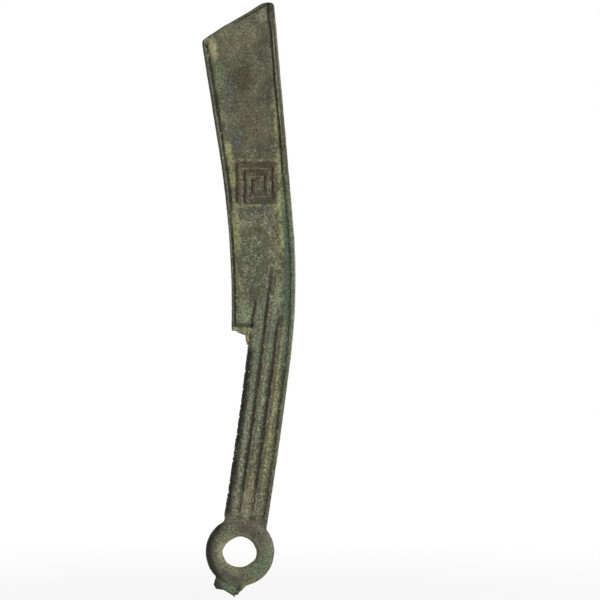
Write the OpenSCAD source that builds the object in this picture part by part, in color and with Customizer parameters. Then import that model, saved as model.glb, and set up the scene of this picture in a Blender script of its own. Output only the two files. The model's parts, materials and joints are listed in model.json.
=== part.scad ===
// Knife-shaped coin cast in bronze: a blade, a handle and a ring, with raised rims, ribs and marks on both faces.
// The ring's hole is at the origin. X runs from the cutting edge to the spine and Z up the blade.
// The obverse faces -Y and the reverse +Y.

/* [Casting] */
// Thickness of the plate between the rims
web_t = 0.7; // [0.5:0.05:1.2]
// Height of the rims above the plate, on each face
rim_h = 0.5; // [0.25:0.05:0.8]
// Height of the handle's ribs above the plate
rib_h = 0.4; // [0.2:0.05:0.5]
// Height of the marks above the plate
mark_h = 0.35; // [0.15:0.05:0.5]

/* [Ring] */
// Outer radius of the ring
ring_r = 8.1; // [7:0.1:10]
// Radius of the ring's hole
hole_r = 3.35; // [2.5:0.05:4.5]
// Width of the bevel round each edge of the ring
ring_bevel = 0.4; // [0.2:0.05:0.4]

/* [Casting stub] */
// Width of the stub at its broken end
stub_w = 6; // [4:0.1:8]
// Length of the stub beyond the ring
stub_len = 2.2; // [1:0.1:4]
// Spread of the stub's foot beyond its end, on each side
stub_flare = 0.6; // [0.2:0.1:1.2]
// Thickness of the stub
stub_t = 1.3; // [0.8:0.05:1.6]
// Turn of the stub from straight down, towards the edge side
stub_turn = 23; // [0:1:40]
// Depth of the hollows in the stub's broken end
stub_break = 0.9; // [0.2:0.1:0.9]

/* [Handle] */
// Width of the handle
handle_w = 10.4; // [9:0.1:12]
// Lean of the handle from upright at the ring, towards the spine side
handle_lean = 9.4; // [7:0.1:12]
// Radius of the handle's slight bow, along its middle
handle_bow_r = 1120; // [600:10:3000]
// Length along the handle's middle, from the ring's centre to where the spine starts to bend
handle_len = 46.2; // [40:0.1:50]
// Width of the handle's ribs
rib_w = 0.85; // [0.5:0.05:1.2]

/* [Blade] */
// Height of the heel above the ring's centre
heel_z = 51.1; // [48:0.1:56]
// Height of the blade's point above the ring's centre, before the point is rounded
point_z = 128.4; // [115:0.1:140]
// Radius of the spine's bend between handle and blade
bend_r = 148; // [120:1:200]
// Lean of the blade's spine from upright, towards the edge side
blade_lean = 4.9; // [3:0.1:8]
// Width of the blade across its belly, from the spine's furthest reach to the upright stretch of the edge
blade_w = 15; // [14:0.1:17]
// Length of the upright stretch of the edge, above the heel
edge_upright = 5.3; // [2:0.1:10]
// Radius of the edge's curve
edge_r = 230; // [150:1:350]
// Lean of the edge from upright, near the tip
edge_lean = 9.1; // [6:0.1:11]
// Slope of the slanted tip, from level
tip_slant = 30; // [20:1:40]
// Depth of the tip's hollow
tip_hollow = 0.4; // [0:0.05:0.8]
// Rounding of the point
point_round = 1.2; // [0.4:0.1:1.6]
// Rounding of the corner between tip and edge
corner_round = 1; // [0.4:0.1:1.6]

/* [Heel flash] */
// Length of the flash along the heel
flash_w = 2.6; // [1:0.1:3]
// Length of the flash down the handle
flash_l = 2.2; // [1:0.1:4]
// Thickness of the flash
flash_t = 0.35; // [0.2:0.05:0.5]

/* [Obverse rims and ribs] */
// Width of the obverse rim along the blade's spine
obverse_spine_w = 1.4; // [0.8:0.1:2.2]
// Width of the obverse rim along the edge, and along the heel
obverse_edge_w = 0.95; // [0.6:0.05:1.6]
// Width of the obverse rim along the tip
obverse_tip_w = 0.7; // [0.4:0.05:1.4]
// Width of the obverse rim along the handle's spine side
obverse_grip_spine_w = 1.2; // [0.8:0.1:1.8]
// Width of the obverse rim along the handle's edge side
obverse_grip_edge_w = 1.4; // [1.2:0.1:2]
// Height that the obverse edge-side rim's line runs up above the heel
obverse_line_rise = 9.2; // [3:0.1:14]
// Height that the obverse edge-side rib runs up above the heel
obverse_edge_rib_rise = 14.7; // [3:0.1:18]
// Height that the obverse spine-side rib runs up above the heel
obverse_spine_rib_rise = 3.2; // [1:0.1:10]

/* [Reverse rims and ribs] */
// Width of the reverse rim along the blade's spine
reverse_spine_w = 2.3; // [1.5:0.1:3]
// Width of the reverse rim along the edge
reverse_edge_w = 1.7; // [1:0.05:2.2]
// Width of the reverse band along the tip
reverse_tip_w = 2.8; // [1.5:0.1:4]
// Width of the reverse rim along the handle's spine side
reverse_grip_spine_w = 1.7; // [1:0.1:2.2]
// Width of the reverse rim along the handle's edge side
reverse_grip_edge_w = 2.1; // [1.2:0.1:2.4]
// Height that the reverse edge-side rim's line runs up above the heel
reverse_line_rise = 7.4; // [3:0.1:8]
// Height that the reverse edge-side rib runs up above the heel
reverse_edge_rib_rise = 11.1; // [3:0.1:14]
// Height that the reverse spine-side rib runs up above the heel
reverse_spine_rib_rise = 4; // [1:0.1:10]

/* [Marks] */
// Width of the raised lines of the marks
mark_line = 0.85; // [0.5:0.05:1]
// Gap between the turns of the square spirals and between the nested lozenges
mark_gap = 0.95; // [0.7:0.05:1.2]
// Side of the obverse square spiral
obverse_mark_size = 9.2; // [7:0.1:10]
// Height of the obverse mark's middle above the heel
obverse_mark_rise = 34.4; // [24:0.1:50]
// Shift of the reverse marks from the middle of the blade, towards the edge side
reverse_mark_shift = 1.3; // [0:0.1:1.6]
// Width across the corners of the reverse lozenge
lozenge_size = 8.2; // [7:0.1:8.6]
// Height of the reverse lozenge's middle above the heel
lozenge_rise = 34.8; // [28:0.1:50]
// Radius of the reverse pellets
pellet_r = 0.8; // [0.5:0.05:1]
// Distance between the reverse pellets
pellet_step = 2.5; // [2.2:0.1:3]
// Height of the row of pellets above the heel
pellet_rise = 25; // [22:0.1:27]
// Side of the reverse square spiral
reverse_spiral_size = 5.6; // [4:0.1:6]
// Height of the reverse square spiral's middle above the heel
reverse_spiral_rise = 15.4; // [13:0.1:18]

/* [Hidden] */

// The two faces, as the sign of Y on each
obverse = -1;
reverse = 1;

// Number of straight steps that stand for each curve, and sides of the round shapes
bow_steps = 4;
bend_steps = 24;
edge_steps = 16;
tip_steps = 6;
round_steps = 6;
ring_sides = 96;
pellet_sides = 32;

// How far a strip starts outside the outline that trims it
trim = 1;

patina = "#6a6752";
worn = "#57513f";
verdigris = "#6f7a5c";

// Unit vectors along a heading and to its left. A heading is degrees from +Z towards +X.
function along(h) = [sin(h), cos(h)];
function inward(h) = [-cos(h), sin(h)];

// Point of the arc about c where a path on that arc has heading h
function arc_point(c, r, h) = c - r * inward(h);

// Where the line from p along u meets the line from q along v
function meet(p, u, q, v) = p + u * cross(q - p, v) / cross(u, v);

function unit(v) = v / norm(v);
function turned(v, a) = [v[0] * cos(a) - v[1] * sin(a), v[0] * sin(a) + v[1] * cos(a)];
function reversed(list) = [for (i = [len(list) - 1:-1:0]) list[i]];

// Arc of radius r that rounds the corner p between its neighbours a and b, on an anticlockwise outline
function rounded(a, p, b, r) =
    let (
        u = unit(a - p),
        v = unit(b - p),
        half = acos(u * v) / 2,
        centre = p + unit(u + v) * r / sin(half),
        start = p + u * r / tan(half) - centre
    )
    [for (i = [0:round_steps]) centre + turned(start, (180 - 2 * half) * i / round_steps)];

// Headings of the spine: leaving the ring, entering the bend, at the heel and along the blade
foot_heading = handle_lean;
bend_heading = handle_lean - handle_len / handle_bow_r * 180 / PI;
blade_heading = -blade_lean;

// Centres of the handle's bow and of the spine's bend
bow_c = handle_bow_r * inward(foot_heading);
spine_bow_r = handle_bow_r + handle_w / 2;
bend_c = arc_point(bow_c, spine_bow_r, bend_heading) + bend_r * inward(bend_heading);
heel_heading = asin((bend_c[1] - heel_z) / bend_r);

function steps_between(a, b, n) = [for (i = [0:n]) a + (b - a) * i / n];
bow_headings = steps_between(foot_heading, bend_heading, bow_steps);

// Points up the handle at distance d in from its spine side, and the point of that line's straight run-on at height z
function handle_points(d) = [for (h = bow_headings) arc_point(bow_c, spine_bow_r - d, h)];
function handle_at(d, z) =
    let (end = arc_point(bow_c, spine_bow_r - d, bend_heading))
    end + (z - end[1]) / cos(bend_heading) * along(bend_heading);

// Points of the spine's bend between two headings, at a distance in that goes from d_handle to d_blade over the bend
function bend_points(from, to, d_handle = 0, d_blade = 0) =
    [for (h = steps_between(from, to, bend_steps))
        let (share = (bend_heading - h) / (bend_heading - blade_heading))
        arc_point(bend_c, bend_r - d_handle - (d_blade - d_handle) * share, h)];

// Point of the blade's straight spine at height z, at distance d in
function spine_at(d, z) =
    let (start = arc_point(bend_c, bend_r - d, blade_heading))
    start + (z - start[1]) / cos(blade_heading) * along(blade_heading);

// The cutting edge: upright above the heel, then an arc, then straight to the tip
edge_x = bend_c[0] + bend_r - blade_w;
edge_c = [edge_x - edge_r, heel_z + edge_upright];
function edge_points(d) = [for (h = steps_between(0, -edge_lean, edge_steps)) arc_point(edge_c, edge_r + d, h)];
function edge_at(d, z) =
    let (start = arc_point(edge_c, edge_r + d, -edge_lean))
    start + (z - start[1]) / cos(edge_lean) * along(-edge_lean);

// The slanted tip, from the point down to its corner with the edge
tip_point = spine_at(0, point_z);
tip_corner = meet(tip_point, [cos(tip_slant), sin(tip_slant)], edge_at(0, point_z), along(-edge_lean));
tip_out = [-sin(tip_slant), cos(tip_slant)];
function tip_at(share, d) =
    tip_point + (tip_corner - tip_point) * share - (4 * tip_hollow * share * (1 - share) + d) * tip_out;

// Middle of the blade at height z
function spine_x(z) =
    z > arc_point(bend_c, bend_r, blade_heading)[1]
        ? spine_at(0, z)[0]
        : bend_c[0] + sqrt(bend_r * bend_r - pow(z - bend_c[1], 2));
function edge_side_x(z) =
    z > arc_point(edge_c, edge_r, -edge_lean)[1]
        ? edge_at(0, z)[0]
        : edge_c[0] + sqrt(edge_r * edge_r - pow(z - edge_c[1], 2));
function blade_middle(z) = [(spine_x(z) + edge_side_x(z)) / 2, z];

// Lays a shape drawn in X and Z as a slab from y0 to y1
module slab(y0, y1) {
    translate([0, y1, 0]) rotate([90, 0, 0]) linear_extrude(y1 - y0) children();
}

// Raises a shape by h from the plate, on one face
module raised(face, h) {
    plate_y = face * web_t / 2;
    slab(min(plate_y, plate_y + face * h), max(plate_y, plate_y + face * h)) children();
}

// Cuts away what would reach into the ring
module up_to_ring() {
    difference() {
        children();
        rotate([90, 0, 0]) cylinder(h = 4 * (web_t + rim_h + stub_t), r = ring_r, center = true, $fn = ring_sides);
    }
}

module blade_outline() {
    polygon(concat(
        bend_points(heel_heading, blade_heading),
        rounded(spine_at(0, heel_z), tip_point, tip_at(1 / tip_steps, 0), point_round),
        [for (i = [1:tip_steps - 1]) tip_at(i / tip_steps, 0)],
        rounded(tip_at(1 - 1 / tip_steps, 0), tip_corner, edge_at(0, heel_z), corner_round),
        reversed(edge_points(0)),
        [[edge_x, heel_z]]
    ));
}

module handle_outline() {
    polygon(concat(
        handle_points(0),
        bend_points(bend_heading, heel_heading),
        [handle_at(handle_w, heel_z)],
        reversed(handle_points(handle_w))
    ));
}

// Strip along the spine, from outside the outline to its inner border
module spine_strip(grip_w, rim_w) {
    top = point_z + trim;
    polygon(concat(
        handle_points(-trim),
        bend_points(bend_heading, blade_heading, -trim, -trim),
        [spine_at(-trim, top), spine_at(rim_w, top)],
        reversed(bend_points(bend_heading, blade_heading, grip_w, rim_w)),
        reversed(handle_points(grip_w))
    ));
}

// Strip along the edge, from outside the outline to its inner border
module edge_strip(rim_w) {
    polygon(concat(
        [[edge_x + rim_w, heel_z - trim]],
        edge_points(rim_w),
        [edge_at(rim_w, point_z), edge_at(-trim, point_z)],
        reversed(edge_points(-trim)),
        [[edge_x - trim, heel_z - trim]]
    ));
}

// Strip along the heel, from the edge to the line that the handle's rim sends up into the blade
module heel_strip(rim_w, line_d) {
    polygon([
        [edge_x - trim, heel_z - trim],
        handle_at(line_d, heel_z - trim),
        handle_at(line_d, heel_z + rim_w),
        [edge_x - trim, heel_z + rim_w]
    ]);
}

// Strip along the tip, from outside the outline to its inner border
module tip_strip(rim_w) {
    run_out = trim / norm(tip_corner - tip_point);
    shares = steps_between(-run_out, 1 + run_out, tip_steps);
    polygon(concat(
        [for (s = shares) tip_at(s, -trim)],
        [for (s = reversed(shares)) tip_at(s, rim_w)]
    ));
}

// Rim along the handle's edge side, with the line that it sends up into the blade
module handle_rim(rim_w, rise) {
    inner = handle_w - rim_w;
    polygon(concat(
        handle_points(inner),
        [handle_at(inner, heel_z + rise), handle_at(inner + rib_w, heel_z + rise)],
        [handle_at(inner + rib_w, heel_z), handle_at(handle_w, heel_z)],
        reversed(handle_points(handle_w))
    ));
}

// Rib along the handle and up into the blade. The two ribs part the space between the rims into three like channels.
module rib(place, spine_rim_w, edge_rim_w, rise) {
    channel = (handle_w - spine_rim_w - edge_rim_w - 2 * rib_w) / 3;
    d = spine_rim_w + channel * place + rib_w * (place - 1);
    polygon(concat(
        handle_points(d),
        [handle_at(d, heel_z + rise), handle_at(d + rib_w, heel_z + rise)],
        reversed(handle_points(d + rib_w))
    ));
}

// Square spiral that winds in from its lower corner, drawn as straight bars
module square_spiral(size) {
    pitch = mark_line + mark_gap;
    reach = (size - mark_line) / 2;
    bars = 4 * floor(reach / pitch) + 2;
    corners = [[-1, -1], [-1, 1], [1, 1], [1, -1]];
    function corner(i) = corners[i % 4] * (reach - pitch * floor(i / 4))
        - (i % 4 == 0 && i > 0 ? [0, pitch] : [0, 0]);
    for (i = [0:bars - 1]) {
        a = corner(i);
        b = corner(i + 1);
        low = [min(a[0], b[0]), min(a[1], b[1])];
        high = [max(a[0], b[0]), max(a[1], b[1])];
        translate(low - [mark_line, mark_line] / 2) square(high - low + [mark_line, mark_line]);
    }
}

module lozenge(across) {
    rotate(45) square(across / sqrt(2), center = true);
}

module blade_web() {
    color(patina) slab(-web_t / 2, web_t / 2) blade_outline();
}

module handle_web() {
    color(patina) up_to_ring() slab(-web_t / 2, web_t / 2) handle_outline();
}

module ring() {
    half_t = web_t / 2 + rim_h;
    color(worn) rotate([90, 0, 0]) rotate_extrude($fn = ring_sides) polygon([
        [hole_r, -half_t + ring_bevel],
        [hole_r + ring_bevel, -half_t],
        [ring_r - ring_bevel, -half_t],
        [ring_r, -half_t + ring_bevel],
        [ring_r, half_t - ring_bevel],
        [ring_r - ring_bevel, half_t],
        [hole_r + ring_bevel, half_t],
        [hole_r, half_t - ring_bevel]
    ]);
}

module casting_stub() {
    half_w = stub_w / 2;
    end = ring_r + stub_len;
    foot = hole_r + ring_bevel;
    color(verdigris) up_to_ring() slab(-stub_t / 2, stub_t / 2) rotate(180 - stub_turn) polygon([
        [half_w + stub_flare, foot],
        [half_w, end - stub_break],
        [half_w * 2 / 3, end],
        [0, end - stub_break / 2],
        [-half_w, end],
        [-half_w, end - stub_break],
        [-half_w - stub_flare, foot]
    ]);
}

module heel_flash() {
    corner = handle_at(handle_w, heel_z);
    along_heel = corner - [flash_w, 0];
    down_handle = handle_at(handle_w, heel_z - flash_l);
    between = (along_heel + down_handle) / 2;
    color(verdigris) slab(-flash_t / 2, flash_t / 2)
        polygon([corner, along_heel, (corner + between) / 2, down_handle]);
}

module obverse_spine_rim() {
    color(worn) up_to_ring() raised(obverse, rim_h) intersection() {
        union() {
            blade_outline();
            handle_outline();
        }
        spine_strip(obverse_grip_spine_w, obverse_spine_w);
    }
}

module obverse_edge_rim() {
    line_d = handle_w - obverse_grip_edge_w + rib_w;
    color(worn) raised(obverse, rim_h) intersection() {
        blade_outline();
        union() {
            edge_strip(obverse_edge_w);
            heel_strip(obverse_edge_w, line_d);
        }
    }
}

module obverse_tip_rim() {
    color(worn) raised(obverse, rim_h) difference() {
        intersection() {
            blade_outline();
            tip_strip(obverse_tip_w);
        }
        spine_strip(obverse_grip_spine_w, obverse_spine_w);
        edge_strip(obverse_edge_w);
    }
}

module obverse_handle_rim() {
    color(worn) up_to_ring() raised(obverse, rim_h) handle_rim(obverse_grip_edge_w, obverse_line_rise);
}

module obverse_spine_rib() {
    color(worn) up_to_ring() raised(obverse, rib_h)
        rib(1, obverse_grip_spine_w, obverse_grip_edge_w, obverse_spine_rib_rise);
}

module obverse_edge_rib() {
    color(worn) up_to_ring() raised(obverse, rib_h)
        rib(2, obverse_grip_spine_w, obverse_grip_edge_w, obverse_edge_rib_rise);
}

module obverse_mark() {
    color(worn) raised(obverse, mark_h)
        translate(blade_middle(heel_z + obverse_mark_rise)) square_spiral(obverse_mark_size);
}

module reverse_spine_rim() {
    color(worn) up_to_ring() raised(reverse, rim_h) intersection() {
        union() {
            blade_outline();
            handle_outline();
        }
        spine_strip(reverse_grip_spine_w, reverse_spine_w);
    }
}

module reverse_edge_rim() {
    color(verdigris) raised(reverse, rim_h) difference() {
        intersection() {
            blade_outline();
            edge_strip(reverse_edge_w);
        }
        tip_strip(reverse_tip_w);
    }
}

module reverse_tip_rim() {
    color(verdigris) raised(reverse, rim_h) difference() {
        intersection() {
            blade_outline();
            tip_strip(reverse_tip_w);
        }
        spine_strip(reverse_grip_spine_w, reverse_spine_w);
    }
}

module reverse_handle_rim() {
    color(verdigris) up_to_ring() raised(reverse, rim_h) handle_rim(reverse_grip_edge_w, reverse_line_rise);
}

module reverse_spine_rib() {
    color(worn) up_to_ring() raised(reverse, rib_h)
        rib(1, reverse_grip_spine_w, reverse_grip_edge_w, reverse_spine_rib_rise);
}

module reverse_edge_rib() {
    color(worn) up_to_ring() raised(reverse, rib_h)
        rib(2, reverse_grip_spine_w, reverse_grip_edge_w, reverse_edge_rib_rise);
}

module reverse_mark_top() {
    inner = lozenge_size - 2 * sqrt(2) * mark_line;
    core = inner - 2 * sqrt(2) * mark_gap;
    color(worn) raised(reverse, mark_h)
        translate(blade_middle(heel_z + lozenge_rise) - [reverse_mark_shift, 0]) {
            difference() {
                lozenge(lozenge_size);
                lozenge(inner);
            }
            lozenge(core);
        }
}

module reverse_mark_middle() {
    color(worn) raised(reverse, mark_h)
        translate(blade_middle(heel_z + pellet_rise) - [reverse_mark_shift, 0])
            for (i = [-1:1]) translate([i * pellet_step, 0]) circle(pellet_r, $fn = pellet_sides);
}

module reverse_mark_foot() {
    color(worn) raised(reverse, mark_h)
        translate(blade_middle(heel_z + reverse_spiral_rise) - [reverse_mark_shift, 0])
            square_spiral(reverse_spiral_size);
}

blade_web();
handle_web();
ring();
casting_stub();
heel_flash();
obverse_spine_rim();
obverse_edge_rim();
obverse_tip_rim();
obverse_handle_rim();
obverse_spine_rib();
obverse_edge_rib();
obverse_mark();
reverse_spine_rim();
reverse_edge_rim();
reverse_tip_rim();
reverse_handle_rim();
reverse_spine_rib();
reverse_edge_rib();
reverse_mark_top();
reverse_mark_middle();
reverse_mark_foot();
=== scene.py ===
"""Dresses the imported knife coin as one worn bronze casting, cut into its named portions, and sets its stage.

The CAD solids are joined, remeshed to one skin and worn in code. Each portion is then cut out of that skin by
its own CAD solid, so that neighbours meet without a gap. Lengths inside the wearing code are millimetres.
"""

import json
import math

import bmesh
import bpy
import numpy as np
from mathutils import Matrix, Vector, noise
from mathutils.bvhtree import BVHTree
from mathutils.kdtree import KDTree


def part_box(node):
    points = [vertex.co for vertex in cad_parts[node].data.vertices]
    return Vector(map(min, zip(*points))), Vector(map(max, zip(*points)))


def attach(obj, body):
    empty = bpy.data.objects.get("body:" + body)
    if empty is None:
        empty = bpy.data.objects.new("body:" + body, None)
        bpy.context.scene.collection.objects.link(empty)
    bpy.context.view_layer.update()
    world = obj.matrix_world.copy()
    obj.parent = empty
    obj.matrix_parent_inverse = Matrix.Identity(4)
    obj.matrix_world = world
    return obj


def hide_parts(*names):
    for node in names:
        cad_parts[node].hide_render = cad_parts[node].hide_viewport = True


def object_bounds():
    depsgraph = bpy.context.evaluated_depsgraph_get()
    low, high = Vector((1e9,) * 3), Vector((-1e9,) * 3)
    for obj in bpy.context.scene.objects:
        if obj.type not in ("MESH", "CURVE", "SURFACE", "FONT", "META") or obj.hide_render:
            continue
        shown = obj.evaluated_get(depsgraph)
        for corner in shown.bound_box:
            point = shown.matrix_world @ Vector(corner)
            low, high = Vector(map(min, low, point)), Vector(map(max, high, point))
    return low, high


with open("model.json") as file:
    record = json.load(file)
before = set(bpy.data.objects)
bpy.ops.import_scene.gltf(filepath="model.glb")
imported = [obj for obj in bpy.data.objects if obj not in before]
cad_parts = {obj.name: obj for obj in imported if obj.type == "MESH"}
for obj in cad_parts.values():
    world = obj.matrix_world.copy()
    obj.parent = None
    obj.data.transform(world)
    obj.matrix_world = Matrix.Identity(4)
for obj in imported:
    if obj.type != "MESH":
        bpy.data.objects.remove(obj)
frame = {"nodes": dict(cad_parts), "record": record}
cad_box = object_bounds()

bl_info = {
    "name": "Cast bronze knife coin",
    "version": (1, 0, 0),
    "blender": (4, 5, 0),
    "location": "View3D > Sidebar > Knife coin",
    "description": "Wears the packed knife coin down to an old casting, lays its patina and sets its stage",
    "category": "Object",
}

MM = 0.001

# Sizes of the solids, in millimetres
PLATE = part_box("blade_web")[1].y / MM
HEEL_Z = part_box("blade_web")[0].z / MM
RING_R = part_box("ring")[1].x / MM
RING_SIDES = 96

# Ways from the hole's middle to the stub, to the corner that is filled beside it, and to the handle
STUB_ANGLE = math.radians(247)
STUB_CORNER = math.radians(-91)
HANDLE_ANGLE = math.radians(84)

# The slanted tip: its lower corner, its length, the way that it faces, how far the casting bows out past it,
# and how much wider the reverse band is at the corner
TIP_CORNER = (-8.7, 118.4)
TIP_LENGTH = 17.9
TIP_OUT = (-math.sin(math.radians(30)), math.cos(math.radians(30)))
TIP_BOW = 0.6
BAND_WIDER = 1.15

# Rounds that take the bow off again, and how near the tip's line a cutter's wall is the outer one
UNBOW_ROUNDS = 4
TIP_WALL = 0.55

# Rounds of smoothing in the corner between ring and handle, and how far round the ring that corner reaches
FILLET_ROUNDS = 40
FILLET_REACH = math.radians(44)

# The worn hole's radius in millimetres, by angle in degrees from the spine side towards the blade
HOLE = {-180: 4.0, -150: 3.8, -130: 3.65, -90: 3.42, -50: 3.38, -20: 3.65, 0: 3.7, 20: 3.5, 50: 3.37, 90: 3.4,
        130: 3.45, 150: 3.65, 180: 4.0}

SIGNS = {"obverse": -1, "reverse": 1}
SLOTS = {part["node"]: part["material_slot"] for part in frame["record"]["subparts"]}
RAISED = [name for name in frame["nodes"] if name.startswith(tuple(SIGNS))]

# Gaps that are measured along the face, each to the raised solids with these endings to their names
GAPS = {
    "rim_gap": ("_rim",),
    "spine_gap": ("spine_rim",),
    "edge_gap": ("edge_rim",),
    "tip_gap": ("tip_rim",),
    "line_gap": ("_rib", "_mark", "_top", "_middle", "_foot"),
}

# Half width of the handle's lines, and how far they lean across per millimetre up
LINE_HALF = 0.42
LINE_SLOPE = 0.125

# Where the handle's middle line would cross the level of the hole's middle
HANDLE_FOOT = 0.55

# Grid of the flash's skin in millimetres, and how much longer and wider it is drawn
FLASH_VOXEL = 0.07
FLASH_LONGER = 1.4
FLASH_WIDER = 1.1

# How far a cutter reaches out of the face, how near two points count as one, how many points are no crumb, and
# how short an edge counts as nothing
CUTTER_REACH = 3
MERGE = 0.001
CRUMB = 100
SLIVER = 0.00002

# The stage, in metres: the floor's half side, each lamp's width and height, and where a lamp stands
FLOOR_HALF = 3
LAMP_SIZE = (0.3, 0.12)
LAMP_PLACE = (0.5, 0.36, 0.055)

# What the operators share while the script runs: the casting, and the trees that gaps are measured to
work = {}


def linear(hex_colour):
    """The linear colour, with alpha, of an sRGB hex value."""
    shares = [int(hex_colour[i:i + 2], 16) / 255 for i in (1, 3, 5)]
    return (*[s / 12.92 if s <= 0.04045 else ((s + 0.055) / 1.055) ** 2.4 for s in shares], 1.0)


class CastingSettings(bpy.types.PropertyGroup):
    """Sizes of the worn casting."""

    voxel: bpy.props.FloatProperty(
        name="Voxel", description="Grid of the skin that joins the solids",
        default=0.156 * MM, unit="LENGTH", precision=5)
    soften: bpy.props.IntProperty(
        name="Soften", description="Rounds of smoothing that wear the cast edges", default=8)
    soften_handle: bpy.props.IntProperty(
        name="Soften handle", description="More rounds of smoothing for the handle's lines", default=18)
    shoulder: bpy.props.FloatProperty(
        name="Shoulder", description="Width over which a rim rises from the coin's outline",
        default=1.1 * MM, unit="LENGTH", precision=5)
    shoulder_low: bpy.props.FloatProperty(
        name="Shoulder height", description="Share of its height that a rim keeps at the outline",
        default=0.5, subtype="FACTOR")
    ring_low: bpy.props.FloatProperty(
        name="Ring edge height", description="Share of its height that the domed ring keeps at its edge",
        default=0.1, subtype="FACTOR")
    hole_low: bpy.props.FloatProperty(
        name="Hole edge height", description="Share of its height that the domed ring keeps at its hole",
        default=0.38, subtype="FACTOR")
    run_out: bpy.props.FloatProperty(
        name="Run-out", description="Length over which the handle's lines sink in at their upper ends",
        default=4.5 * MM, unit="LENGTH", precision=5)
    wander: bpy.props.FloatProperty(
        name="Wander", description="How far the borders of rims and lines stray from true",
        default=0.22 * MM, unit="LENGTH", precision=5)
    stub_fill: bpy.props.FloatProperty(
        name="Stub fill", description="Metal that fills the corner between stub and ring",
        default=1.35 * MM, unit="LENGTH", precision=5)
    neck: bpy.props.FloatProperty(
        name="Neck", description="Length over which the rims and ribs die out above the ring",
        default=2.4 * MM, unit="LENGTH", precision=5)
    fillet: bpy.props.FloatProperty(
        name="Fillet", description="How far the rounded corner between ring and handle reaches to each side",
        default=0.9 * MM, unit="LENGTH", precision=5)
    groove: bpy.props.FloatProperty(
        name="Groove", description="Depth of the groove at the foot of the rims",
        default=0.13 * MM, unit="LENGTH", precision=5)
    spine_groove: bpy.props.FloatProperty(
        name="Spine groove", description="Depth of the narrow groove inside the reverse spine rim",
        default=0.16 * MM, unit="LENGTH", precision=5)
    crust: bpy.props.FloatProperty(
        name="Crust", description="Height of the crust beside the rims",
        default=0.07 * MM, unit="LENGTH", precision=5)
    bite: bpy.props.FloatProperty(
        name="Bite", description="Depth of the bites in the handle's ragged edge side",
        default=0.5 * MM, unit="LENGTH", precision=5)


class PatinaSettings(bpy.types.PropertyGroup):
    """Colours of the patina."""

    field_dark: bpy.props.FloatVectorProperty(
        name="Dark field", description="Brown metal of the field", subtype="COLOR", size=4,
        default=linear("#4a4738"))
    field_light: bpy.props.FloatVectorProperty(
        name="Light field", description="Grey earth dust on the field", subtype="COLOR", size=4,
        default=linear("#6a6855"))
    green: bpy.props.FloatVectorProperty(
        name="Green", description="Thin green over the brown", subtype="COLOR", size=4,
        default=linear("#5d664c"))


class StageSettings(bpy.types.PropertyGroup):
    """The camera, lights and floor."""

    lens: bpy.props.FloatProperty(
        name="Lens", description="Focal length of the camera, in millimetres", default=200)
    view_width: bpy.props.FloatProperty(
        name="View width", description="Width of the view at the coin",
        default=139.04 * MM, unit="LENGTH", precision=5)
    aim_x: bpy.props.FloatProperty(
        name="Aim across", description="Where the view's middle lies across the coin",
        default=13.81 * MM, unit="LENGTH", precision=5)
    aim_z: bpy.props.FloatProperty(
        name="Aim up", description="Where the view's middle lies up the coin",
        default=58.37 * MM, unit="LENGTH", precision=5)
    floor: bpy.props.FloatVectorProperty(
        name="Floor", description="Colour of the pale floor", subtype="COLOR", size=4,
        default=linear("#f4f4f2"))
    sky: bpy.props.FloatProperty(
        name="Sky", description="Strength of the even light all round", default=0.2)
    key: bpy.props.FloatProperty(
        name="Key", description="Power of each face's main lamp", default=3.9, unit="POWER")


def merged(names):
    """A bmesh of the named CAD solids, with the doubles of their loose triangles merged."""
    bm = bmesh.new()
    for name in names:
        bm.from_mesh(frame["nodes"][name].data)
    bmesh.ops.remove_doubles(bm, verts=bm.verts, dist=MERGE * MM)
    return bm


def placed(name, bm):
    """A new object in the scene from a bmesh, which is freed."""
    mesh = bpy.data.meshes.new(name)
    bm.to_mesh(mesh)
    bm.free()
    if "custom_normal" in mesh.attributes:
        mesh.attributes.remove(mesh.attributes["custom_normal"])
    obj = bpy.data.objects.new(name, mesh)
    bpy.context.scene.collection.objects.link(obj)
    return obj


def settled(obj):
    """Gives the object the mesh that its modifiers make, and takes the modifiers off."""
    graph = bpy.context.evaluated_depsgraph_get()
    mesh = bpy.data.meshes.new_from_object(obj.evaluated_get(graph))
    obj.modifiers.clear()
    before = obj.data
    obj.data = mesh
    if not before.users:
        bpy.data.meshes.remove(before)


def removed(obj):
    """Takes a working object and its mesh out of the file."""
    mesh = obj.data
    bpy.data.objects.remove(obj)
    if not mesh.users:
        bpy.data.meshes.remove(mesh)


def skinned(obj, voxel):
    """Joins what the object holds into one closed skin of even quads."""
    voxels = obj.modifiers.new("voxels", "REMESH")
    voxels.mode = "VOXEL"
    voxels.voxel_size = voxel
    settled(obj)


def softened(obj, rounds, group=""):
    """Wears the sharp edges of a skin, all over or in one vertex group."""
    smooth = obj.modifiers.new("wear", "SMOOTH")
    smooth.factor = 0.5
    smooth.iterations = rounds
    smooth.vertex_group = group
    settled(obj)


def spots_of(mesh):
    """The vertices' places in millimetres and their normals, as arrays of rows."""
    places = np.empty(len(mesh.vertices) * 3)
    mesh.vertices.foreach_get("co", places)
    normals = np.empty(len(mesh.vertices) * 3)
    mesh.vertex_normals.foreach_get("vector", normals)
    return places.reshape(-1, 3) / MM, normals.reshape(-1, 3)


def ripples(points, size, seed):
    """Smooth noise from -1 to 1 at each point, with bumps of about the given size in millimetres."""
    shift = Vector((17.3, 5.1, 9.7)) * seed
    return np.array([noise.noise(p / size + shift) for p in points])


def eased(low, high, values):
    """Rises smoothly from 0 at low to 1 at high."""
    t = np.clip((values - low) / (high - low), 0, 1)
    return t * t * (3 - 2 * t)


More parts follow.
